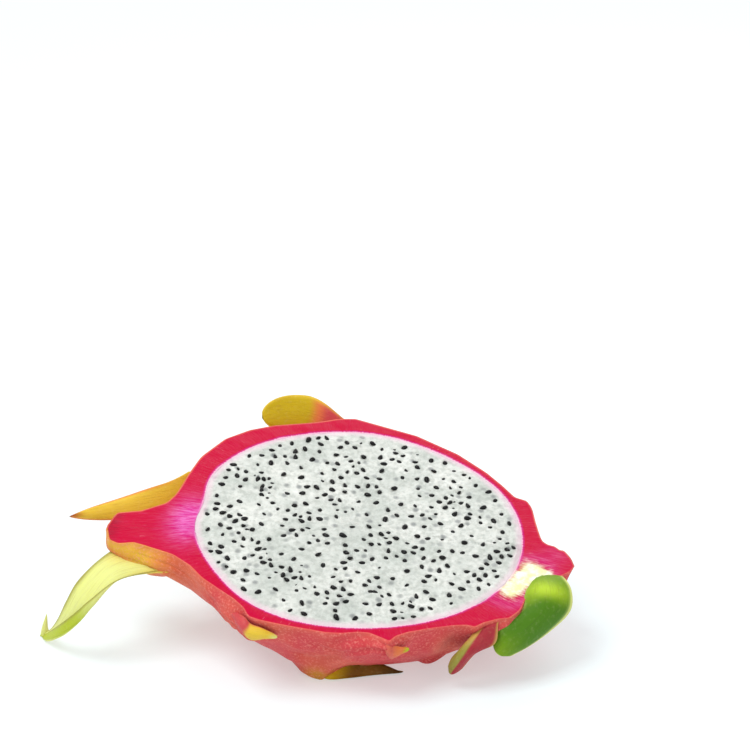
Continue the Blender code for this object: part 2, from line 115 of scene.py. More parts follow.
# Each bract: where its foot sits (share of half the flesh's length, angle round the fruit),
# the way from the foot to the middle and tip of its midrib in mm, its width and thickness in
# mm, and the height and length of the swelling that carries it, in mm. The rest is as in PLAIN
# unless the row says otherwise. A bract that is spanned over lines (RAILS) has no midrib; its
# tip only says which way it points.
BRACT_ROWS = {
    "bract_crown_back": dict(
        foot=(-1.033, 28), middle=(-14.5, -11, 1.8), tip=(-30, -23, 5.5), size=(11, 2.4), turn=(32, 40),
        fold=0.12, blunt=1.5, swell=(1.2, 12), wave=0.5, colours=(YELLOW, YELLOW, YELLOW, RUST),
        stops=(0.05, 0.3, 0.32, 0.62, 0.86, 1.0), edge=ORANGE),
    # Its moss border, darker than the blade, is partly its own edge and partly painted shade along the edge
    # of its folded wall.
    "bract_crown_front": dict(
        foot=(-1.217, 140), tip=(-27, -2.5, -36), size=(14, 1.9), swell=(1.4, 16), wave=0.3,
        colours=(YELLOW, PALE, PALE, PALE), edge=MOSS),
    "bract_crown_under": dict(
        foot=(-1.130, 92), middle=(-8, 1, -2.5), tip=(-15, 3, -5), size=(12, 2.4), fold=0.3, blunt=1.5,
        swell=(1.8, 14), wave=0.5, curl=0.5, colours=(ORANGE, YELLOW, LIME, LIME)),
    "bract_neck_back": dict(
        foot=(-0.913, 46), middle=(-13, -3, -7), tip=(-27, -7, -11), size=(14, 2.4), fold=0.25, blunt=1.6,
        swell=(3.0, 16), wave=0.5, curl=0.5, colours=(SALMON, ORANGE, YELLOW, LIME)),
    "bract_rim_back": dict(
        foot=(-0.087, 12), middle=(-17, 1, 4.7), tip=(-29.5, -3.6, 5.8), size=(14, 2.2), turn=(24, 30),
        fold=0.14, blunt=3.4, swell=(2.6, 12), curl=0.4, neck=0.62, round=0.5,
        colours=(PINK, ORANGE, OLIVE, OLIVE), stops=(0.30, 0.40, 0.38, 0.50, 0.7, 1.0)),
    "bract_back_high": dict(
        foot=(0.435, 42), middle=(-9, 3, -4), tip=(-16, 9, -9), size=(15, 2.4), fold=0.22, swell=(3.0, 20)),
    "bract_back_low": dict(
        foot=(-0.348, 58), middle=(-10, 2, -4), tip=(-18, 6, -10), size=(15, 2.4), fold=0.22,
        swell=(3.2, 20)),
    "bract_back_stem": dict(
        foot=(0.935, 52), middle=(-9, 5, -6), tip=(-15, 11, -13), size=(14, 2.4), swell=(2.8, 14)),
    "bract_belly_crown": dict(
        foot=(-0.717, 100), middle=(-6.5, 2, 1.6), tip=(-13, 4, 4), size=(13, 2.4), blunt=1.7,
        swell=(3.0, 16), wave=0.3, curl=0.3, colours=(PINK, SALMON, ORANGE, YELLOW)),
    "bract_belly_stem": dict(
        foot=(0.913, 100), middle=(-9, -1, -7), tip=(-18, -2, -9), size=(14, 2.4), fold=0.16,
        swell=(2.4, 14), wave=0.3, curl=0.3, colours=(PINK, ORANGE, YELLOW, LIME),
        stops=(0.0, 0.18, 0.18, 0.42, 0.6, 0.95)),
    "bract_front_crown": dict(
        foot=(-0.467, 168), tip=(9, -3.2, 3), size=(7, 1.8), swell=(3.0, 12), wave=0.2,
        colours=(PINK, YELLOW, YELLOW, PALE), stops=(0.36, 0.48, 0.5, 0.7, 0.8, 1.0), edge=SALMON),
    # This bract lies under the fruit: its brown and darkest tones towards the tip, and its brown border, are
    # painted shade.
    "bract_front_belly": dict(
        foot=(-0.043, 138), tip=(24, 3, -1), size=(11, 2.2), swell=(4.6, 9),
        colours=(OLIVE, OLIVE, BROWN_SHADOWED, LEAF_SHADOWED), stops=(0.1, 0.2, 0.30, 0.58, 0.7, 1.0), edge=BROWN_SHADOWED),
    "bract_front_middle": dict(
        foot=(0.326, 174), tip=(7.5, -1.8, 5.5), size=(7, 1.8), swell=(3.0, 13), wave=0.2,
        colours=(PINK, SALMON, ORANGE, LIME), stops=(0.1, 0.3, 0.4, 0.7, 0.78, 0.95), edge=SALMON),
    "bract_front_stem": dict(
        foot=(0.957, 166), tip=(-10, -6.5, -11), size=(12, 2.2), swell=(2.0, 10),
        colours=(PINK, STRAW, MOSS, MOSS), edge=STRAW),
    "bract_stem_green": dict(
        foot=(1.250, 172), tip=(-12, -21, -9.5), size=(17, 3.0), swell=(0.6, 6), wave=0.3,
        colours=(FERN, FERN, GREEN, FERN), stops=(0.0, 0.1, 0.30, 0.42, 0.6, 0.95), edge=PALE, border=0.2,
        skin=PINK, patch=(0.27, -0.1, 0.07, 0.75, LEAF_BRIGHT)),
    "bract_stem_back": dict(
        foot=(1.109, 34), middle=(-3, 6, -4), tip=(-5, 12, -9), size=(11, 2.2), blunt=1.7, swell=(1.6, 8),
        wave=0.3, curl=0.4),
}

# What a bract has unless its row says otherwise: turn about its midrib at foot and tip, fold of
# its edges, bluntness, how much its edges wave and curl in mm, how much narrower its neck is,
# roundness of its tip (less is rounder), width of its border as a share, its colours from foot
# to tip and where along it each change of colour begins and ends, and the colour of its border.
# Some rows add the skin's colour round the foot ("skin"), or a patch of colour on the blade:
# where along, where across, its reach along and across, and the colour.
PLAIN = dict(
    turn=(0, 0), fold=0.2, blunt=1.9, wave=0.4, curl=0.6, neck=0.0, round=0.8, border=0.13,
    colours=(PINK, SALMON, YELLOW, LIME), stops=(0.05, 0.30, 0.32, 0.62, 0.68, 0.97), edge=YELLOW)
BRACTS = {name: PLAIN | row for name, row in BRACT_ROWS.items()}

# Ridges and grooves of the skin: place along the fruit in mm and angle round it in degrees at
# both ends, height in mm (below zero for a groove) and half width in mm.
CREASES = [
    (0, 148, 8, 172, 1.2, 1.7), (-9, 164, 0, 156, -0.8, 1.2), (-10, 157, -1, 150, -0.8, 1.1),
    (-4, 171, 5, 166, -0.7, 1.3), (-12, 170, -5, 160, 0.7, 1.6), (12, 174, 15, 158, -0.8, 1.1),
    (24, 176, 20, 158, -0.6, 1.6), (33, 174, 31, 146, -1.6, 2.0), (28, 172, 26, 150, 0.6, 2.0),
    (-25, 178, -21, 168, 0.9, 1.1), (-27, 172, -22, 160, -0.6, 1.2), (-60, 150, -40, 160, -0.5, 1.0),
    (-58, 166, -38, 169, -0.4, 0.8), (-36, 172, -26, 162, -0.5, 1.2), (10, 166, 24, 166, 0.5, 2.2),
    (18, 12, 34, 30, -0.6, 1.8), (-20, 20, -4, 34, -0.6, 1.8), (2, 60, 20, 74, -0.6, 2.0),
    (24, 139, 31, 142, 2.1, 2.8), (-4, 150, 4, 163, -0.9, 1.0), (-1, 143, 7, 158, 1.1, 0.9),
    (-30, 80, -14, 92, 0.6, 2.4), (26, 100, 40, 110, -0.6, 2.0), (-24, 130, -8, 120, -0.6, 2.0),
]

# Bracts whose shape is more than a plain leaf: three lines from root to tip, in mm of the
# fruit's frame. The blade runs from the first line over the middle one to the last.
RAILS = {
    "bract_crown_front": (
        [(-55, -16, -6), (-61.6, -19.7, -4.2), (-66.4, -24.2, -6), (-71.2, -29, -10.6), (-74, -30.6, -17.1),
         (-76.5, -29.7, -25.3), (-79.6, -25.8, -33.5), (-82.6, -22.6, -38.4)],
        [(-38, -22, -9), (-49.1, -22.8, -6.6), (-60.2, -27.1, -6.9), (-66, -34, -12.7),
         (-69.3, -35.3, -18.7), (-74.2, -34, -26.5), (-79.5, -29.4, -34.5), (-83.1, -23.6, -39.6)],
        [(-43, -20, -6), (-49.4, -23.9, -6.4), (-59.8, -29.5, -7.2), (-66, -35.5, -10.5),
         (-69.8, -35.9, -15.4), (-74.4, -33.5, -22.9), (-78.9, -28.2, -31.6), (-82.2, -24.2, -37.9)]),
    "bract_front_stem": (
        [(40, -26, -2), (38.4, -30.8, -2.9), (35.4, -34.5, -5.9), (33, -35.6, -10.3), (31.9, -35.2, -15.4)],
        [(41, -27, -2), (40.3, -31.5, -2.1), (37.5, -35.9, -4.5), (35.4, -37.2, -8.5),
         (33.1, -36.7, -15.5)],
        [(45, -25, -2), (43.8, -29.2, -0.8), (43.7, -33.2, -4.6), (38.9, -34.7, -8.6),
         (34.7, -36.2, -15.7)]),
    "bract_stem_green": (
        [(49, -9, -4), (50.5, -11.8, -0.8), (48.6, -18.2, -0.9), (49.1, -22.5, -1.2), (46.1, -26, -1.5),
         (43.4, -28, -2), (42.6, -30.2, -4.4), (42.8, -32.5, -7)],
        [(53, -7, -4), (54.6, -10.6, -0.2), (56.2, -16.4, 0.6), (55.9, -21.6, -0.4), (52.1, -27.2, -2.8),
         (48.4, -30.8, -5), (45.8, -32.6, -6.9), (44.6, -34, -8.1)],
        [(57, -4, -4), (59.6, -8, 0), (62.4, -12.5, -0.5), (62.6, -18.1, -2.9), (58.2, -23.9, -5.8),
         (53.7, -28.3, -7.9), (49.5, -31.2, -9.3), (46.7, -33.1, -9.7)]),
    "bract_front_crown": (
        [(-25, -40, -2), (-22.3, -42.6, -0.9), (-20.6, -43.6, -1.8), (-17.6, -44.2, -1.9),
         (-13.3, -44, -4)],
        [(-26, -39, -4), (-23.2, -43.6, -3.3), (-20.4, -45.4, -4.2), (-16.9, -45.4, -3.6),
         (-13.1, -44.4, -4.2)],
        [(-24, -36, -9), (-21.9, -40.3, -9), (-20, -41.3, -9.6), (-16.7, -43.2, -6.4), (-13.3, -44, -4.6)]),
    "bract_front_middle": (
        [(13, -39, -2), (15.5, -43, -0.8), (16.9, -42.8, -1.8), (18.9, -42.2, -2.6), (21.2, -41, -3.6)],
        [(12, -38, -4), (16, -44, -3.1), (17.5, -43.8, -3.9), (19.3, -42.8, -3.9), (21.5, -41.4, -3.7)],
        [(14, -35, -9), (16.9, -41.2, -8.3), (17.9, -41.3, -8), (19.5, -41.4, -6), (21.4, -41.1, -4.2)]),
    "bract_front_belly": (
        [(-4, -31, -23), (-0.3, -33.4, -21.6), (5, -31.4, -20.8), (11.4, -30.2, -20.9),
         (18.8, -30.6, -23.6)],
        [(-4, -34, -25), (0.6, -37.2, -24.2), (6, -36, -24.2), (13, -33.4, -23.5), (21.2, -31.2, -23.2)],
        [(-4, -34, -27), (1.6, -36.4, -27), (6.8, -35.6, -27.2), (13.2, -33.2, -26.4),
         (20.2, -31.4, -25.2)]),
}
# A thorn that stands on the tip of the bract at the near side of the crown.
THORN = (
    [(-82.8, -25.4, -38.6), (-82.9, -24.4, -36.4), (-82.3, -22.2, -33.4), (-81.9, -21.4, -32.2)],
    [(-81.9, -25.8, -38), (-82, -24.6, -36.2), (-82.1, -22.3, -33.4), (-81.9, -21.4, -32.2)],
    [(-80.4, -24.2, -37.4), (-81, -23.6, -35.7), (-81.7, -22, -33.3), (-81.9, -21.4, -32.2)])
# The part of such a blade, from 0 at its first line to 1 at its last, beyond which it has
# its second set of colours, and those colours from root to tip.
SECOND_FACE = {
    "bract_crown_front": (0.62, (YELLOW, PALE, LIME, LIME)),
    "bract_front_stem": (0.46, (PINK, MAUVE, MAUVE, MAUVE)),
}

# Marks in the cut face, in mm: the violet patch at the neck, the pale streak at the stem end (its
# start and its way) with a pale spot beside it, the magenta lobe, and the torn end of the neck.
VIOLET_SPOT, STREAK_START, STREAK_WAY = (-44.5, -9), (45.6, -17), (5.4, 8.6)
PALE_SPOT, LOBE_SPOT, TORN_FROM, TORN_TO = (54, -8.6), (57, 0.5), -61.5, -64.5

# Shapes -----------------------------------------------------------------------------------


def turned(axis, degrees):
    """The matrix of a turn about the X (0), Y (1) or Z (2) axis."""
    matrix, i, j = np.eye(3), (axis + 1) % 3, (axis + 2) % 3
    matrix[i, i] = matrix[j, j] = math.cos(math.radians(degrees))
    matrix[j, i] = math.sin(math.radians(degrees))
    matrix[i, j] = -matrix[j, i]
    return matrix


TILT = turned(1, CROWN_UP) @ turned(0, TILT_FORWARD)


def eased(places, table, reach, steps=5):
    """A table's second column at places of its first: straight lines with their corners rounded."""
    known = np.array(table, float)
    shifts = np.linspace(-reach, reach, steps)
    return sum(np.interp(places + shift, known[:, 0], known[:, 1]) for shift in shifts) / steps


def flesh_outline(around, lifelike=True):
    """The edge of the cut flesh by direction from its middle: an uneven oval with a dimple at the crown."""
    x, y = np.cos(around), np.sin(around)
    reach = 1 / np.hypot(x / (FLESH_LENGTH / 2), y / (FLESH_WIDTH / 2))
    if lifelike:
        degrees = np.degrees(np.arctan2(y, x))
        reach = reach * eased(degrees, FLESH_SHAPE, 7.0)
    x, y = x * reach, y * reach
    dent = np.clip(-x / (FLESH_LENGTH / 2), 0, 1) ** 4 * CROWN_DIMPLE
    return x + dent * np.exp(-((y / CROWN_DIMPLE_WIDTH) ** 2)), y


def fruit_origin():
    """Where the middle of the cut flesh lies: the box of the tilted flesh is laid on the CAD flesh's."""
    around, down = np.meshgrid(np.linspace(0, 2 * np.pi, 181), np.linspace(0, np.pi / 2, 46))
    x, y = flesh_outline(around, False)
    flesh = np.stack([x * np.cos(down), y * np.cos(down), -FLESH_DEPTH * np.sin(down)], -1)
    flesh = flesh.reshape(-1, 3) @ TILT.T
    low, high = (np.array(corner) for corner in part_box("flesh"))
    return (low + high) / 2 - (flesh.min(0) + flesh.max(0)) / 2


ORIGIN = fruit_origin()


def laid(points):
    """Points of the fruit's frame, tilted and laid on the table."""
    return points @ TILT.T + ORIGIN


def unit(vectors):
    return vectors / np.linalg.norm(vectors, axis=-1, keepdims=True)


def smooth(low, high, value):
    """0 below low, 1 above high, and a smooth step between them."""
    share = np.clip((value - low) / (high - low), 0, 1)
    return share * share * (3 - 2 * share)


def hill(value, middle, spread):
    """A bell-shaped bump, 1 at its middle."""
    return np.exp(-(((value - middle) / spread) ** 2))


def ripples(points, wavelength, key, waves=10):
    """Smooth unevenness from -1 to 1: plane waves in many directions, added up."""
    draw = np.random.default_rng(key)
    total = 0.0
    for _ in range(waves):
        direction = unit(draw.normal(size=3)) * 2 * np.pi / (wavelength * draw.uniform(0.7, 1.5))
        total = total + np.sin(points @ direction + draw.uniform(0, 2 * np.pi))
    return total / math.sqrt(waves * 2)


def curve(known, t):
    """The smooth curve (Catmull-Rom) through the rows of a table, at t from 0 to 1."""
    last = len(known) - 1
    i = np.minimum((t * last).astype(int), last - 1)
    f = (t * last - i)[..., None]
    a, b, c, d = (known[np.clip(i + k, 0, last)] for k in (-1, 0, 1, 2))
    return 0.5 * (2 * b + (c - a) * f + (2 * a - 5 * b + 4 * c - d) * f**2 + (3 * b - a - 3 * c + d) * f**3)


def stations(t):
    """Place along, sideways shift, half width and depth of the skin at t, 0 to 1, in metres."""
    half = FLESH_LENGTH / 2
    sizes = curve(SKIN, t) * np.array([half, half, FLESH_WIDTH / 2 + RIND_SIDE, FLESH_DEPTH + RIND_BELLY])
    x, side, half_width, depth = np.moveaxis(sizes, -1, 0)
    return x, side, np.maximum(half_width, 0), np.maximum(depth, 0)


def from_foot(row, x, angle, half_width):
    """Places counted from a bract's foot: forward along the fruit, and across."""
    forward = math.copysign(1.0, row["tip"][0])
    along = forward * (x - row["foot"][0] * FLESH_LENGTH / 2)
    return along, (angle - math.radians(row["foot"][1])) * half_width


def creases(x, angle, half_width):
    """Ridges and grooves of the skin: each follows a line on it and fades at its ends."""
    height = 0.0
    for x0, angle0, x1, angle1, rise, width in CREASES:
        dx, dy = (x1 - x0) * MM, math.radians(angle1 - angle0) * 40 * MM
        px, py = x - x0 * MM, (angle - math.radians(angle0)) * 40 * MM
        along = np.clip((px * dx + py * dy) / (dx * dx + dy * dy), 0, 1)
        away = np.hypot(px - along * dx, py - along * dy) / (width * MM)
        height = height + rise * MM * np.exp(-(away**2)) * (0.25 + 0.75 * np.sin(np.pi * along))
    return height * smooth(2.0 * MM, 6.0 * MM, half_width)


def swelling(x, angle, half_width, folds):
    """Height of the skin's swellings: each rises behind its bract, drops in front, and has folds."""
    height = 0.0
    for row in BRACTS.values():
        rise, length = row["swell"][0] * MM, row["swell"][1] * MM
        along, across = from_foot(row, x, angle, half_width)
        behind = np.clip(-along / length, 0, 1)
        reach = np.where(along < 0, length, SWELL_FRONT)
        spread = row["size"][0] * MM * (SWELL_WIDTH + SWELL_SPREAD * behind)
        mound = rise * np.exp(-((along / reach) ** 2)) * np.exp(-np.abs(across / spread) ** 3)
        height = height + mound
        if folds:
            fan = across / (spread * (0.5 + 0.7 * behind))
            height = height + 0.13 * mound * np.cos(fan * 7.0 + 9 * behind)
    return height * smooth(2.0 * MM, 4.0 * MM, half_width)


def skin_point(t, angle, looks=True):
    """The skin: a half oval at each station, raised by its swellings and by slight unevenness."""
    x, side, half_width, depth = stations(t)
    raised = swelling(x, angle, half_width, looks)
    if looks:
        y, z = side + half_width * np.cos(angle), -depth * np.sin(angle)
        places = np.stack(np.broadcast_arrays(x, y, z), -1)
        calm = smooth(0, 6 * MM, half_width)
        raised = raised + creases(x, angle, half_width)
        raised = raised + calm * (0.40 * ripples(places, 17 * MM, 3) + 0.12 * ripples(places, 5 * MM, 4)) * MM
    y = side + (half_width + raised) * np.cos(angle)
    if looks:
        y = y + drawn_to_rim(x, side, half_width, raised, angle)
    return np.stack(np.broadcast_arrays(x, y, -(depth + raised) * np.sin(angle)), -1)


def drawn_to_rim(x, side, half_width, raised, angle):
    """How far the skin leans sideways so that it meets the rims; the lean fades below the cut."""
    known = smooth(0.3 * MM, 2.0 * MM, half_width)
    near = eased(x / MM, NEAR_RIM, 0.5) * MM - (side - (half_width + raised[:, -1:]))
    far = eased(x / MM, FAR_RIM, 0.5) * MM - (side + (half_width + raised[:, :1]))
    below_near, below_far = (np.pi - angle) * half_width / (3.6 * MM), angle * half_width / (4.5 * MM)
    return known * (near * np.exp(-below_near**2) + far * np.exp(-below_far**2))


def grid_mesh(name, surfaces, weld=1e-6):
    """A closed mesh from grids of points that share their borders; marks are stored on its points.

    Each surface is (points, marks), where points has the shape (rows, columns, 3) and marks maps
    an attribute's name to one number or one colour per point.
    """
    points, faces, marks, start = [], [], {}, 0
    for grid, marked in surfaces:
        rows, columns = grid.shape[:2]
        index = start + np.arange(rows * columns).reshape(rows, columns)
        quads = np.stack([index[:-1, :-1], index[1:, :-1], index[1:, 1:], index[:-1, 1:]], -1)
        points.append(grid.reshape(-1, 3))
        faces.append(quads.reshape(-1, 4))
        for key, value in marked.items():
            marks.setdefault(key, []).append(value)
        start += rows * columns
    points, faces = np.concatenate(points), np.concatenate(faces)
    if inside_out(points, faces):
        faces = faces[:, ::-1]
    mesh = bpy.data.meshes.new(name)
    mesh.vertices.add(len(points))
    mesh.vertices.foreach_set("co", points.ravel())
    mesh.loops.add(faces.size)
    mesh.loops.foreach_set("vertex_index", faces.ravel().astype(np.int32))
    mesh.polygons.add(len(faces))
    mesh.polygons.foreach_set("loop_start", np.arange(0, faces.size, 4, dtype=np.int32))
    mesh.update(calc_edges=True)
    for key, parts in marks.items():
        if parts[0].ndim == 3:
            flat = np.concatenate([part.reshape(-1, 3) for part in parts])
            flat = np.concatenate([flat, np.ones((len(flat), 1))], 1)
            mesh.attributes.new(key, "FLOAT_COLOR", "POINT").data.foreach_set("color", flat.ravel())
        else:
            flat = np.concatenate([part.ravel() for part in parts])
            mesh.attributes.new(key, "FLOAT", "POINT").data.foreach_set("value", flat)
    work = bmesh.new()
    work.from_mesh(mesh)
    bmesh.ops.remove_doubles(work, verts=work.verts, dist=weld)
    work.to_mesh(mesh)
    work.free()
    mesh.shade_smooth()
    return mesh


def inside_out(points, faces):
    """True if the faces of a closed mesh point inwards: the volume that they span is negative."""
    a, b, c, d = (points[faces[:, k]] - points[0] for k in range(4))
    return np.einsum("ij,ij->i", a, np.cross(b, c) + np.cross(c, d)).sum() < 0


def linear(colour):
    """A daylight colour from 0 to 255 as the linear light that shaders work in."""
    share = np.array(colour, float) / 255
    return np.where(share <= 0.04045, share / 12.92, ((share + 0.055) / 1.055) ** 2.4)


def blend(first, second, share):
    """A mix of two colours, point by point."""
    return first + (second - first) * np.asarray(share)[..., None]


def add_object(name, data):
    """Puts a mesh, a light or a camera into the scene."""
    made = bpy.data.objects.new(name, data)
    bpy.context.scene.collection.objects.link(made)
    return made


def add_piece(name, mesh, finish, slot_name, *nodes):
    """Shows a finished mesh in place of CAD nodes and lets it ride on the fruit."""
    piece = add_object(name, mesh)
    mesh.materials.append(finish)
    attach(piece, "root")
    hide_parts(*nodes)


# Finishes ---------------------------------------------------------------------------------


class Value:
    """A number that varies over a surface; arithmetic on it adds Math nodes."""

    def __init__(self, finish, socket):
        self.finish, self.socket = finish, socket

    def math(self, operation, *values):
        return self.finish.node("ShaderNodeMath", {"operation": operation}, dict(enumerate(values)))

    def __add__(self, other):
        return self.math("ADD", self, other)

    def __mul__(self, other):
        return self.math("MULTIPLY", self, other)

    def __sub__(self, other):
        return self.math("SUBTRACT", self, other)

    def __rsub__(self, other):
        return self.math("SUBTRACT", other, self)

    __radd__, __rmul__ = __add__, __mul__


class Finish:
    """A procedural material: constants go straight onto the shader, the rest is linked."""

    def __init__(self, name, **constants):
        self.material = bpy.data.materials.new(name)
        self.material.use_nodes = True
        self.tree = self.material.node_tree
        self.shader = self.tree.nodes["Principled BSDF"]
        for key, value in constants.items():
            self.shader.inputs[key.replace("_", " ")].default_value = value

    def node(self, kind, settings=None, values=None, output=0):
        """Adds a node: its settings first, then the values or links of its sockets."""
        made = self.tree.nodes.new(kind)
        for key, value in (settings or {}).items():
            setattr(made, key, value)
        for key, value in (values or {}).items():
            if isinstance(value, Value):
                self.tree.links.new(value.socket, made.inputs[key])
            else:
                made.inputs[key].default_value = value
        return Value(self, made.outputs[output])

    def mark(self, name, colour=False):
        """An attribute of the piece's points, as a number or as a colour."""
        return self.node("ShaderNodeAttribute", {"attribute_name": name}, None, "Color" if colour else "Fac")

    def place(self):
        return self.node("ShaderNodeTexCoord", None, None, "Object")

    def vector(self, x, y, z):
        return self.node("ShaderNodeCombineXYZ", None, {0: x, 1: y, 2: z})

    def noise(self, vector, scale, detail, roughness=0.55):
        values = {"Vector": vector, "Scale": scale, "Detail": detail, "Roughness": roughness}
        return self.node("ShaderNodeTexNoise", {"noise_dimensions": "3D"}, values)

    def step(self, value, low, high):
        """A smooth step from 0 to 1 between two values."""
        values = {0: value, 1: low, 2: high}
        return self.node("ShaderNodeMapRange", {"interpolation_type": "SMOOTHSTEP"}, values)

    def mix(self, share, first, second, blend_type="MIX"):
        """A mix of two colours, each a link or red, green and blue from 0 to 255."""
        values = {"Factor": share}
        for key, colour in ((6, first), (7, second)):
            values[key] = colour if isinstance(colour, Value) else (*linear(colour), 1.0)
        return self.node("ShaderNodeMix", {"data_type": "RGBA", "blend_type": blend_type}, values, 2)

    def link(self, name, value):
        self.tree.links.new(value.socket, self.shader.inputs[name])

    def bump(self, height, distance, strength):
        values = {"Height": height, "Distance": distance, "Strength": strength}
        self.link("Normal", self.node("ShaderNodeBump", None, values))


def peel_finish():
    """Leathery pink skin with fine pale specks; where it is cut, wet crimson rind with fibres."""
    finish = Finish("peel", Subsurface_Weight=0.08, Subsurface_Scale=0.0015,
                    Subsurface_Radius=(1.0, 0.25, 0.2), Specular_IOR_Level=0.09)
    place, cut = finish.place(), finish.mark("cut")
    to_flesh, to_skin = finish.mark("to_flesh"), finish.mark("to_skin")
    fibre_place = finish.vector(finish.mark("around"), finish.mark("across"), 0.0)

    specks = finish.noise(place, 1500.0, 2.0, 0.6)
    patches = finish.noise(place, 130.0, 3.0)
    skin = finish.mix(finish.step(patches, 0.35, 0.75) * 0.35, finish.mark("tint", True), SKIN_SHADE)
    skin = finish.mix(finish.step(specks, 0.48, 0.70) * 0.40, skin, SKIN_SPECK)

    fibres = finish.noise(fibre_place, 1.0, 3.0, 0.65)
    ragged = to_flesh + (fibres - 0.5) * 0.9
    rind = finish.mix(finish.step(ragged, 0.15, 0.60), RIND_INNER, RIND_MIDDLE)
    rind = finish.mix(finish.step(ragged, 0.50, 1.15), rind, RIND_OUTER)
    streaked = finish.step(fibres, 0.5, 0.85) * finish.step(to_flesh, 1.0, 4.0) * 0.40
    rind = finish.mix(streaked, rind, RIND_FIBRE)
    bright = finish.mix(finish.step(fibres, 0.35, 0.70), VIOLET_DARK, VIOLET_LIGHT)
    rind = finish.mix(finish.mark("violet"), rind, bright)
    mottle = finish.noise(place, 420.0, 4.0, 0.65)
    pale = finish.mark("cream") + (fibres - 0.5) + (mottle - 0.5) * 0.7
    cream = finish.mix(finish.step(mottle, 0.35, 0.65), STREAK_YELLOW, STREAK_WHITE)
    rind = finish.mix(finish.step(pale, 0.15, 0.85), rind, cream)
    rind = finish.mix(finish.mark("torn") * finish.step(fibres, 0.3, 0.6), rind, RIND_TORN)
    rind = finish.mix(finish.step(to_skin, 0.55, 0.15), rind, finish.mark("tint", True))
    finish.link("Base Color", finish.mix(cut, skin, rind))

    finish.link("Roughness", 0.46 - cut * 0.14 + finish.step(specks, 0.4, 0.7) * 0.1)
    finish.bump(specks * (1 - cut) + patches * 0.6 + fibres * cut * 1.2, 0.00022, 0.8)
    return finish.material


def flesh_finish():
    """Grey-white jelly-like flesh with soft grey seeds showing through it and a pink edge."""
    finish = Finish("flesh", Subsurface_Weight=0.25, Subsurface_Scale=0.002,
                    Subsurface_Radius=(1.0, 0.9, 0.85), Specular_IOR_Level=0.4)
    place, edge = finish.place(), finish.mark("to_edge")
    clouds, grain = finish.noise(place, 90.0, 4.0), finish.noise(place, 700.0, 4.0, 0.65)
    strand_place = finish.vector(finish.mark("around") * 26.0, finish.mark("across"), 0.0)
    strands = finish.noise(strand_place, 1.0, 4.0, 0.6)
    colour = finish.mix(finish.step(clouds, 0.3, 0.7), FLESH_GREY, FLESH_WHITE)
    colour = finish.mix(finish.step(grain, 0.38, 0.66) * 0.5, colour, FLESH_GRAIN)
    colour = finish.mix(finish.step(strands, 0.5, 0.8) * 0.3, colour, FLESH_STRAND)
    cells, picks = (finish.node("ShaderNodeTexVoronoi", None, {"Vector": place, "Scale": 330.0}, output)
                    for output in ("Distance", "Color"))
    chosen = finish.node("ShaderNodeSeparateColor", None, {0: picks})
    sunk = finish.step(cells, 0.42, 0.12) * finish.step(chosen, 0.30, 0.80) * 0.80
    colour = finish.mix(sunk, colour, FLESH_SUNK_SEED)
    colour = finish.mix(finish.step(edge + (strands - 0.5) * 2.4, 2.5, 0.2) * 0.75, colour, FLESH_EDGE)
    finish.link("Base Color", colour)
    finish.link("Roughness", 0.22 + finish.step(grain, 0.3, 0.7) * 0.25)
    finish.bump(grain + strands * 0.5, 0.0003, 0.9)
    return finish.material


def seed_finish():
    """Glossy black seed coat."""
    finish = Finish("seed", Roughness=0.30, Specular_IOR_Level=0.22)
    mottle = finish.noise(finish.place(), 900.0, 2.0)
    finish.link("Base Color", finish.mix(finish.step(mottle, 0.4, 0.7), SEED_BLACK, SEED_BROWN))
    return finish.material


def bract_finish(name, gloss, relief=0.7):
    """Leathery leaf: its own colours along it, fine streaks lengthwise and faint pale specks."""
    finish = Finish(name, Subsurface_Weight=0.10, Subsurface_Scale=0.0015,
                    Subsurface_Radius=(0.9, 0.9, 0.2), Specular_IOR_Level=0.22)
    place = finish.place()
    streak_place = finish.vector(finish.mark("across") * 7.0, finish.mark("along") * 1.6, finish.mark("face"))
    streaks, specks = finish.noise(streak_place, 1.6, 4.0, 0.6), finish.noise(place, 900.0, 2.0)
    tint = finish.mark("tint", True)
    colour = finish.mix(finish.step(streaks, 0.45, 0.75) * 0.4, tint, LEAF_LIGHT, "MULTIPLY")
    colour = finish.mix(finish.step(streaks, 0.5, 0.3) * 0.30, colour, LEAF_SHADE, "MULTIPLY")
    colour = finish.mix(finish.step(specks, 0.50, 0.75) * 0.04, colour, LEAF_SPECK)
    finish.link("Base Color", colour)
    finish.link("Roughness", gloss + finish.step(streaks, 0.3, 0.7) * 0.14)
    finish.bump(streaks + specks * 0.12, 0.0002, relief)
    return finish.material


# Pieces -----------------------------------------------------------------------------------


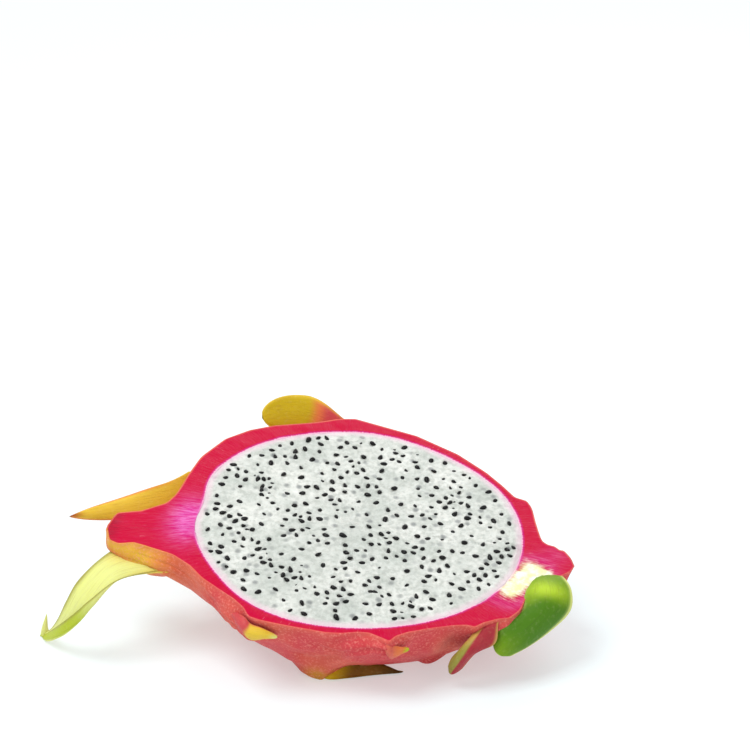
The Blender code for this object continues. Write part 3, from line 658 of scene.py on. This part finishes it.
def skin_tint(points, x, angle, half_width):
    """Colour of the skin: pink, warmer to the crown, yellow-orange round each bract's foot, and painted shade
    in darker claret on a swelling and a fold low on the near side.
    """
    x = np.broadcast_to(x, points.shape[:2])
    uneven = ripples(points, 14 * MM, 11)
    tint = blend(linear(PINK), linear(SALMON), smooth(-0.5, 0.8, uneven))
    front = smooth(2.3, 3.0, angle) * np.ones_like(x)
    tint = blend(tint, linear(ORANGE), smooth(-30, -50, x / MM + 4 * uneven) * (0.35 + 0.60 * front))
    tint = blend(tint, linear(YELLOW), smooth(-42, -56, x / MM + 6 * uneven) * front * 0.75)
    for row in BRACTS.values():
        along, across = from_foot(row, x, angle, half_width)
        width = row["size"][0] * MM * 0.55
        beside = np.exp(-((along + 0.5 * MM) / (3.5 * MM)) ** 2) * np.exp(-((across / width) ** 4))
        tint = blend(tint, linear(row.get("skin", row["colours"][0])), 0.8 * beside)
    rim = np.exp(-(np.minimum(angle, np.pi - angle) * np.maximum(half_width, 1e-4) / (1.1 * MM)) ** 2)
    # Painted shade: a darker claret on a swelling low on the near side and on the fold beside it.
    swelling_shade = hill(x / MM, 28, 5) * hill(np.degrees(angle), 141, 6)
    swelling_shade = swelling_shade + 0.6 * hill(x / MM, 35, 5) * hill(np.degrees(angle), 160, 12)
    tint = blend(tint, linear(SHADED_CLARET), 0.7 * swelling_shade)
    return blend(tint, linear(SKIN_RIM), 0.35 * rim)


def peel_mesh(rows=420, columns=141, rings=17, wall_rows=9):
    """The rind: skin below the cut, the ring-shaped cut face, and the hollow that holds the flesh.

    The cut face runs along straight lines from the edge of the flesh to the skin's rim, and the
    hollow is the flesh's own oval.
    """
    t = np.linspace(0, 1, rows)[:, None]
    u = np.linspace(0, 1, columns)[None, :]
    angle = np.pi * (u - 0.045 * np.sin(4 * np.pi * u) - 0.05 * np.sin(2 * np.pi * u))
    skin = skin_point(t, angle)
    x, _, half_width, _ = stations(t)
    zero = np.zeros(skin.shape[:2])
    skin_marks = dict(
        cut=zero, to_flesh=zero + 5, to_skin=zero, around=zero, across=zero, violet=zero, cream=zero,
        torn=zero, tint=skin_tint(skin, x, angle, half_width))

    rim = np.concatenate([skin[:, 0], skin[::-1, -1]])
    around = np.unwrap(np.arctan2(rim[:, 1], rim[:, 0]))
    inner_x, inner_y = flesh_outline(around)
    inner = np.stack([inner_x, inner_y, np.zeros_like(inner_x)], -1)
    share = np.linspace(0, 1, rings)[:, None]
    share = share - 0.099 * np.sin(2 * np.pi * share)
    face = inner[None] + (rim - inner)[None] * share[..., None]
    reach = np.linalg.norm(rim - inner, axis=-1)[None] / MM
    to_flesh, to_skin = share * reach, nearest(face, rim) / MM
    to_flesh = np.minimum(to_flesh, nearest(face, inner) / MM)
    low = 0.14 * np.exp(-(to_flesh / 0.5) ** 2) + 0.16 * np.exp(-(to_skin / 0.35) ** 2)
    relief = 0.10 * ripples(face, 6 * MM, 21) + 0.05 * ripples(face, 2.2 * MM, 22)
    face[..., 2] = (relief - low) * MM * smooth(0, 0.5, to_skin)
    fx, fy = face[..., 0] / MM, face[..., 1] / MM
    neck = hill(fx, VIOLET_SPOT[0], 5.0) * hill(fy, VIOLET_SPOT[1], 8.0)
    (start_x, start_y), (way_x, way_y) = STREAK_START, STREAK_WAY
    along = np.clip(((fx - start_x) * way_x + (fy - start_y) * way_y) / (way_x**2 + way_y**2), 0, 1)
    off_line = np.hypot(fx - start_x - way_x * along, fy - start_y - way_y * along)
    cream = 1.1 * np.exp(-((off_line / (2.9 + 1.2 * along)) ** 2))
    cream = cream + 0.9 * hill(fx, PALE_SPOT[0], 3.2) * hill(fy, PALE_SPOT[1], 2.0)
    lobe = hill(fx, LOBE_SPOT[0], 4.0) * hill(fy, LOBE_SPOT[1], 4.0)
    magenta = 0.30 * hill(off_line, 5.5, 2.5) + 0.20 * lobe
    rim_tint = np.concatenate([skin_marks["tint"][:, 0], skin_marks["tint"][::-1, -1]])
    length_along = np.cumsum(np.linalg.norm(np.diff(inner, axis=0, prepend=inner[:1]), axis=-1)) / MM
    torn = 0.45 * smooth(TORN_FROM, TORN_TO, fx)
    face_marks = dict(
        cut=smooth(0.05, 0.4, to_skin), to_flesh=to_flesh, to_skin=to_skin,
        around=np.broadcast_to(length_along * 1.9, to_flesh.shape), across=to_flesh * 0.22,
        violet=np.clip(neck * 1.2 + magenta, 0, 0.9), cream=cream, torn=torn,
        tint=np.broadcast_to(rim_tint[None], (*to_flesh.shape, 3)))

    down = np.linspace(0, np.pi / 2, wall_rows)[:, None]
    lip = face[0, :, 2]
    wall = np.stack([inner_x * np.cos(down), inner_y * np.cos(down),
                     -FLESH_DEPTH * np.sin(down) + lip * np.cos(down)], -1)
    wall_marks = repeated(face_marks, 0, wall_rows)
    face_marks = {key: value[::-1] for key, value in face_marks.items()}
    surfaces = [(skin, skin_marks), (face[::-1], face_marks), (wall, wall_marks)]
    return grid_mesh("peel", [(on_table(laid(grid)), marks) for grid, marks in surfaces], weld=2e-6)


def repeated(marks, row, count):
    """The marks of one row of a grid, repeated over the rows of another."""
    return {key: np.broadcast_to(value[row][None], (count, *value.shape[1:])).copy()
            for key, value in marks.items()}


def nearest(points, line):
    """Distance from each point to the nearest point of a line of points, looking along the cut."""
    flat = points.reshape(-1, 3)[:, :2]
    best = np.full(len(flat), 1.0)
    for part in np.array_split(line[:, :2], 8):
        gap = flat[:, None] - part[None]
        best = np.minimum(best, np.sqrt((gap**2).sum(-1)).min(1))
    return best.reshape(points.shape[:-1])


def on_table(points, least=0.0, softness=0.0004):
    """Flattens what would reach below the table, with a soft bend."""
    reach = (points[..., 2] - least) / softness
    soft = least + softness * np.where(reach > 20, reach, np.log1p(np.exp(np.minimum(reach, 20))))
    height = soft - 0.6 * softness * np.exp(-np.abs(reach))
    return np.concatenate([points[..., :2], height[..., None]], -1)


def seed_spots():
    """Where seeds lie in the cut, in mm: darts thrown at it that keep apart, closer in some patches."""
    draw = np.random.default_rng(12)
    spots = np.empty((0, 2))
    while len(spots) < SEED_COUNT:
        x, y = draw.uniform(-46, 46), draw.uniform(-42, 42)
        edge = math.hypot(*flesh_outline(math.atan2(y, x))) / MM
        if math.hypot(x, y) > edge - SEED_MARGIN:
            continue
        place = np.array([x, y, 0.0])
        apart = max(1.5, 2.7 - 1.25 * float(ripples(place, 15.0, 31)))
        if len(spots) and np.hypot(*(spots - (x, y)).T).min() < apart:
            continue
        spots = np.concatenate([spots, [(x, y)]])
    return spots * MM


def seeds_mesh(spots):
    """Pear-shaped seeds: rings round a lengthwise axis, thinner at one end, each turned and tipped."""
    draw = np.random.default_rng(5)
    count, rings, sides = len(spots), 6, 7
    polar = np.linspace(0, np.pi, rings)[:, None]
    turn = np.linspace(0, 2 * np.pi, sides + 1)[None, :]
    along = np.cos(polar) * np.ones_like(turn)
    slim = (1.0 - 0.36 * along) * np.sin(polar)
    shape = np.stack([along * 1.16, slim * np.cos(turn) * 0.72, slim * np.sin(turn) * 0.56], -1) * MM
    size = draw.uniform(0.70, 1.08, count)
    heading, tip, roll = (draw.uniform(-1, 1, count) * k for k in (np.pi, 0.45, 0.6))
    height = draw.uniform(-0.42, 0.22, count) * MM
    angles = np.degrees(np.stack([heading, tip, roll], 1))
    turns = np.array([turned(2, yaw) @ turned(1, pitch) @ turned(0, bank) for yaw, pitch, bank in angles])
    middles = np.concatenate([spots, height[:, None]], 1)
    grids = np.einsum("nij,rsj->nrsi", turns, shape) * size[:, None, None, None] + middles[:, None, None]
    return grid_mesh("seeds", [(laid(grid)[:, ::-1], {}) for grid in grids])


def flesh_mesh(spots, rings=96, sides=420, wall_rows=14):
    """The flesh: a nearly flat cut face with fine relief, closed by the lower half of an oval.

    The face is spanned by directions from its middle and shares of the way to its edge; it sinks
    a little at the edge and rises round every seed.
    """
    around = np.linspace(0, 2 * np.pi, sides + 1)[None, :]
    edge_x, edge_y = flesh_outline(around)
    edge = np.stack([edge_x, edge_y, np.zeros_like(edge_x)], -1)
    grown = 1 + 0.12 * MM / np.linalg.norm(edge, axis=-1, keepdims=True)
    share = np.sin(np.linspace(0, np.pi / 2, rings) * 0.72) / math.sin(np.pi / 2 * 0.72)
    face = edge * grown * share[:, None, None]
    to_edge = (1 - share[:, None]) * np.linalg.norm(edge, axis=-1) / MM
    height = 0.16 * ripples(face, 7 * MM, 41) + 0.09 * ripples(face, 2.4 * MM, 42)
    flat = face[..., :2].reshape(-1, 2)
    collars = np.zeros(len(flat))
    for part in np.array_split(spots, 12):
        far = np.sqrt(((flat[:, None] - part[None]) ** 2).sum(-1)) / MM
        collars = collars + (0.20 * hill(far, 1.35, 0.55) - 0.22 * hill(far, 0, 0.9)).sum(1)
    calm = smooth(0, 1.5, to_edge)
    height = height * calm + collars.reshape(height.shape) * calm - 0.16 * np.exp(-(to_edge / 0.8) ** 2)
    face[..., 2] = height * MM
    marks = dict(to_edge=to_edge, around=np.broadcast_to(around, to_edge.shape), across=to_edge * 0.06)
    down = np.linspace(0, np.pi / 2, wall_rows)[:, None, None]
    wall = face[-1][None] * np.cos(down)
    wall = wall - np.sin(down) * np.array([0, 0, FLESH_DEPTH - 0.3 * MM])
    surfaces = [(laid(face), marks), (laid(wall), repeated(marks, -1, wall_rows))]
    return grid_mesh("flesh", surfaces, weld=2e-6)


def raised_loop(v):
    """Height round a leaf's loop, from 1 on its upper side to -1 below: flatter than a circle."""
    return np.sign(np.sin(v)) * np.abs(np.sin(v)) ** 0.7


def capped(grid, marks):
    """Closes a tube's two ends: each end loop is drawn together in its middle."""
    ends = [np.broadcast_to(end.mean(1, keepdims=True), end.shape) for end in (grid[:1], grid[-1:])]
    marks = {key: np.concatenate([value[:1], value, value[-1:]]) for key, value in marks.items()}
    return np.concatenate([ends[0], grid, ends[1]]), marks


def lengthwise(row, colours, s):
    """Four colours along a bract, from foot to tip, changing where its row says."""
    first, second, third, last = (linear(colour) for colour in colours)
    a, b, c, d, e, f = row["stops"]
    tint = blend(first, second, smooth(a, b, s))
    tint = blend(tint, third, smooth(c, d, s))
    return blend(tint, last, smooth(e, f, s))


class Leaf:
    """A bract: loops carried along its curved midrib, broad at the foot and drawn in to the tip."""

    def __init__(self, name, row):
        self.name, self.row = name, row
        x, angle = row["foot"][0] * FLESH_LENGTH / 2, math.radians(row["foot"][1])
        spread = np.linspace(0, 1, 20001)
        t, step = float(np.interp(x, stations(spread)[0], spread)), 1e-3
        at = [skin_point(np.array([t + a]), np.array([angle + b]), False)[0]
              for a, b in ((0, 0), (step, 0), (-step, 0), (0, step), (0, -step))]
        self.foot = at[0]
        self.out = unit(np.cross(at[1] - at[2], at[3] - at[4]))
        middle, tip = np.array(row["middle"]) * MM, np.array(row["tip"]) * MM
        self.first, self.second = 4 * middle - tip, 2 * tip - 4 * middle
        self.width, self.thickness = (v * MM for v in row["size"])
        self.skin_radius = max(float(stations(np.array([t]))[2][0]), self.width / 2)
        self.length = np.linalg.norm(middle) + np.linalg.norm(tip - middle)

    def midrib(self, s):
        """A curve through foot (0), middle (0.5) and tip (1); its root dives under the skin."""
        free, root = np.maximum(s, 0)[..., None], np.minimum(s, 0)[..., None]
        way = self.first * (free + 0.4 * root) + self.second * free**2
        return self.foot + way + self.out * self.length * root

    def frame(self, s):
        """Sideways and outward directions, turned about the midrib."""
        free = np.maximum(s, 0)[..., None]
        direction = unit(self.first + 2 * free * self.second)
        outward = unit(self.out - direction * (direction @ self.out)[..., None])
        foot_turn, tip_turn = np.radians(self.row["turn"])
        turn = foot_turn + (tip_turn - foot_turn) * free
        outward = outward * np.cos(turn) + np.cross(direction, outward) * np.sin(turn)
        return np.cross(outward, direction), outward

    def mesh(self, rows=64, sides=36):
        """Loops round the leaf: wide and thin, with thin edges, a fold, waves and a few long ribs."""
        row, root = self.row, -BRACT_ROOT / self.length
        s = np.linspace(root, 1, rows)[:, None]
        v = np.linspace(0, 2 * np.pi, sides + 1)[None, :]
        q = np.cos(v) * np.ones_like(s)
        free = np.maximum(s, 0)
        foot = 1 + 0.25 * np.maximum(0, 1 - free / 0.25) ** 2
        foot = foot * (1 - row["neck"] * (1 - smooth(0.05, 0.55, free)))
        half = self.width / 2 * foot * (1 - free ** row["blunt"]) ** row["round"]
        half = np.maximum(half, self.width * 0.035 * np.sqrt(np.clip((1 - s) / 0.03, 0, 1)))
        thick = self.thickness / 2 * (1 - 0.5 * free) * (1 - 0.62 * q**2)
        thick = thick * np.sqrt(np.clip((1 - s) / 0.04, 0, 1))
        lift = raised_loop(v) * thick
        loose = np.clip(free / 0.4, 0, 1)
        hug = (q * half) ** 2 / (2 * self.skin_radius)
        bend = hug * (1 - loose) + row["fold"] * half * q * q * loose
        bend = bend - row["curl"] * MM * np.abs(q) ** 5 * loose * (0.4 + 0.6 * free)
        bend = bend - row["wave"] * MM * np.abs(q) ** 3 * loose * np.sin(free * 11 + q * 1.7)
        ribs = 0.07 * MM * np.cos(q * 15) * loose * (1 - q**2)
        side, outward = self.frame(s)
        points = self.midrib(s) + side * (q * half)[..., None] + outward * (lift + ribs - bend)[..., None]
        placed = on_table(laid(points), TABLE_MARGIN, 0.0012)
        tint = lengthwise(row, row["colours"], s - 0.03 * q * q)
        tint = blend(tint, linear(row["edge"]), smooth(0.80, 0.97, np.abs(q)) * loose * 0.8)
        marks = dict(
            tint=tint, along=np.broadcast_to(s * self.length / MM / 10, q.shape),
            across=q * half / MM / 2, face=np.sin(v) * np.ones_like(s))
        return grid_mesh(self.name, [capped(placed, marks)])


def railed_bract(name, row, rails):
    """The mesh of a bract that is spanned over three lines, with its thorn if it has one."""
    grids = [railed_blade(row, rails, SECOND_FACE.get(name))]
    if name == "bract_crown_front":
        pale = dict(row, colours=(LIME, PALE, PALE, PALE))
        grids.append(railed_blade(pale, THORN, rows=14, sides=12, thinness=0.5))
    return grid_mesh(name, grids)


def railed_blade(row, rails, second_face=None, rows=72, sides=44, thinness=1.0):
    """A blade spanned over three lines and given a thickness along its own normals.

    Across the blade its middle surface is the parabola through the three lines; loops round it
    are thin at the edges, and the tip closes in a rounded end.
    """
    s = np.linspace(0, 1, rows)[:, None]
    v = np.linspace(0, 2 * np.pi, sides + 1)[None, :]
    q = np.cos(v) * np.ones_like(s)

    def blade(s, q):
        first, middle, last = (curve(np.array(rail, float) * MM, s * np.ones_like(q)) for rail in rails)
        share = q[..., None]
        narrow = np.sqrt(np.clip((1 - s) / 0.10, 0, 1))[..., None]
        centre = (first + 2 * middle + last) / 4
        spread = first * share * (share - 1) / 2 + middle * (1 - share**2) + last * share * (share + 1) / 2
        return centre + (spread - centre) * narrow

    step = 1e-3
    inward = np.minimum(s, 0.9)
    along = blade(inward + step, q * 0.98) - blade(inward - step, q * 0.98)
    across = blade(inward, q * 0.98 + step) - blade(inward, q * 0.98 - step)
    normal = unit(np.cross(along, across))
    thick = thinness * row["size"][1] * MM * 0.42 * (1 - 0.45 * s) * (1 - 0.70 * q**2)
    thick = thick * np.sqrt(np.clip((1 - s) / 0.05, 0, 1))
    lift = raised_loop(v) * thick
    ribs = 0.06 * MM * np.cos(q * 17 + 2 * s) * (1 - q**2)
    wave = thinness * row["wave"] * 0.5 * MM * np.abs(q) ** 4 * np.sin(s * 13 + q * 2) * smooth(0.1, 0.4, s)
    points = blade(s, q) + normal * (lift + ribs + wave)[..., None]
    placed = on_table(laid(points), TABLE_MARGIN, 0.0008)

    place = s + 0.03 * np.cos(q * 4)
    tint = lengthwise(row, row["colours"], place)
    if second_face:
        seam, colours = second_face
        other = lengthwise(row, colours, place)
        tint = blend(tint, other, smooth(seam - 0.03, seam + 0.03, (q + 1) / 2))
    if "patch" in row:
        s0, q0, reach_s, reach_q, colour = row["patch"]
        tint = blend(tint, linear(colour), hill(s - 0.06 * q, s0, reach_s) * hill(q, q0, reach_q))
    beside = smooth(1 - row["border"], 1 - 0.3 * row["border"], np.abs(q)) * smooth(0.08, 0.2, s)
    tint = blend(tint, linear(row["edge"]), np.maximum(beside, smooth(0.955, 0.98, s)) * 0.8)
    marks = dict(
        tint=tint * np.ones_like(q)[..., None], along=s * np.ones_like(q) * 2.5,
        across=q * 2.5, face=np.sin(v) * np.ones_like(s))
    return capped(placed, marks)


def show_object():
    """Builds every piece with its finish."""
    spots = seed_spots()
    add_piece("peel", peel_mesh(), peel_finish(), "skin", "peel")
    add_piece("flesh", flesh_mesh(spots), flesh_finish(), "flesh", "flesh")
    seeds = [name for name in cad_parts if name.startswith("seed_")]
    add_piece("seeds", seeds_mesh(spots), seed_finish(), "seed", *seeds)
    finishes = {"bract": bract_finish("bract", 0.42), "green": bract_finish("green bract", 0.40, 0.35)}
    for name, row in BRACTS.items():
        kind = "green" if "green" in name else "bract"
        mesh = railed_bract(name, row, RAILS[name]) if name in RAILS else Leaf(name, row).mesh()
        add_piece(name, mesh, finishes[kind], kind, name)


# Studio -----------------------------------------------------------------------------------

CAMERA_TURN, CAMERA_HEIGHT, CAMERA_FAR = 7.0, 25.0, 0.583   # degrees round and up, metres off
AIM_TURN, AIM_DOWN = 6.334, 20.911                          # where it looks, in degrees
LENS = 100.0                                                # mm on a 36 mm wide sensor
FLOOR_REACH, DAYLIGHT, FLOOR_GLOW = 40.0, 0.62, 0.62        # metres; strengths
# The paper's cyan tint cancels the pink light that the fruit bounces onto the floor; its glow is painted
# light, weaker near the fruit.
PAPER, PAPER_TONE = (188, 202, 205), (190, 204, 207)
GLOW_NEAR, GLOW_FAR = (214, 214, 214), (255, 255, 255)
LIGHT_AIM = np.array([0.0, 0.0, 0.02])
LIGHTS = (      # name, place and size in metres, power in watts
    ("key", (-0.30, -0.25, 0.75), 0.45, 4.2),
    ("fill", (0.6, -0.6, 0.4), 0.5, 1.2),
    ("back", (0.1, 0.6, 0.6), 0.5, 1.8))


def add_light(name, place, size, power):
    """A soft square light that looks at the fruit."""
    light = bpy.data.lights.new(name, "AREA")
    light.size, light.energy = size, power
    lamp = add_object(name, light)
    lamp.location = place
    back = unit(np.array(place) - LIGHT_AIM)
    lamp.rotation_euler = (math.acos(back[2]), 0.0, math.atan2(back[0], -back[1]))


def show_studio():
    """A pale floor, soft lights and the camera. The floor glows as painted light, weaker near the fruit and
    full far from it, and is tinted cyan against the pink light that the fruit bounces onto it.
    """
    mesh = bpy.data.meshes.new("floor")
    corners = [(x * FLOOR_REACH, y * FLOOR_REACH, 0) for x, y in ((-1, -1), (1, -1), (1, 1), (-1, 1))]
    mesh.from_pydata(corners, [], [(0, 1, 2, 3)])
    paper = Finish("paper", Roughness=0.9, Specular_IOR_Level=0.1, Emission_Strength=FLOOR_GLOW)
    away = paper.node("ShaderNodeVectorMath", {"operation": "LENGTH"}, {0: paper.place()}, "Value")
    paper.link("Emission Color", paper.mix(paper.step(away, 0.25, 1.3), GLOW_NEAR, GLOW_FAR))
    tone = paper.noise(paper.place(), 3.0, 2.0)
    paper.link("Base Color", paper.mix(tone, PAPER, PAPER_TONE))
    mesh.materials.append(paper.material)
    add_object("floor", mesh)

    world = bpy.data.worlds.new("studio")
    world.use_nodes = True
    background = world.node_tree.nodes["Background"]
    background.inputs["Color"].default_value = (1.0, 1.0, 1.0, 1.0)
    background.inputs["Strength"].default_value = DAYLIGHT
    bpy.context.scene.world = world
    for light in LIGHTS:
        add_light(*light)

    lens = bpy.data.cameras.new("camera")
    lens.lens, lens.clip_start = LENS, 0.01
    camera = add_object("camera", lens)
    turn, high = math.radians(CAMERA_TURN), math.radians(CAMERA_HEIGHT)
    way = (math.sin(turn) * math.cos(high), -math.cos(turn) * math.cos(high), math.sin(high))
    camera.location = ORIGIN + CAMERA_FAR * np.array(way)
    camera.rotation_euler = (math.radians(90 - AIM_DOWN), 0.0, math.radians(AIM_TURN))
    bpy.context.scene.camera = camera
    bpy.context.scene.view_settings.view_transform = "Standard"


show_object()
show_studio()
